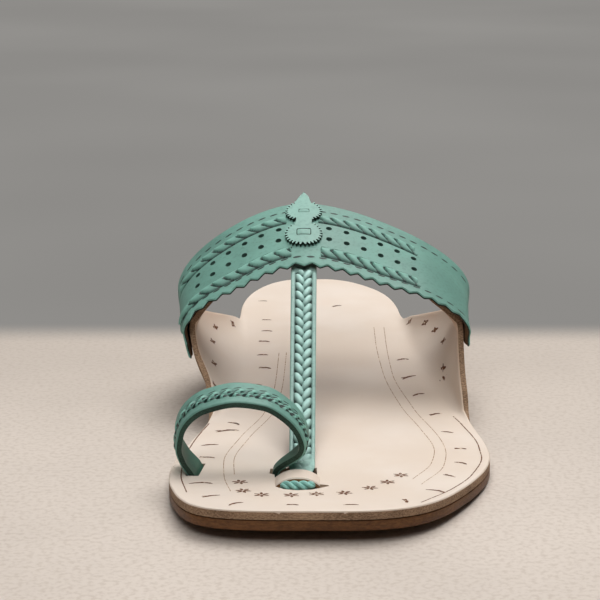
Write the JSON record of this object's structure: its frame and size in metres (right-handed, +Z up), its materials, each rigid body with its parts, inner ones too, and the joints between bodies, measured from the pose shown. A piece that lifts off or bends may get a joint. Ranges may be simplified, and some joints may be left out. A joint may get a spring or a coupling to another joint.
{
  "type": "toe-loop sandal",
  "caption": "Left flat leather sandal with a toe loop, a plaited T strap and a pinked, punched instep band over two turned-up ears, with a gear-cut rosette.",
  "frame": {"origin": "centre of the bottom of the sandal's bounding box", "axes": "+Z up from the floor, toe towards -Y, heel towards +Y, wearer's inner side towards -X"},
  "size_m": [0.0974, 0.25, 0.0657],
  "materials": {
    "outsole_leather": "satin, burnished edge",
    "insole_leather": "matt with a light grain",
    "band_leather": "satin, painted",
    "strap_leather": "satin, painted",
    "rosette_leather": "satin, painted",
    "lace_leather": "satin, painted"
  },
  "bodies": {
    "root": {"outsole": "outsole_leather", "insole": "insole_leather", "instep_band": "band_leather", "t_strap": "strap_leather", "toe_loop": "strap_leather", "double_rosette": "rosette_leather", "lace_end": "lace_leather"}
  },
  "joints": []
}
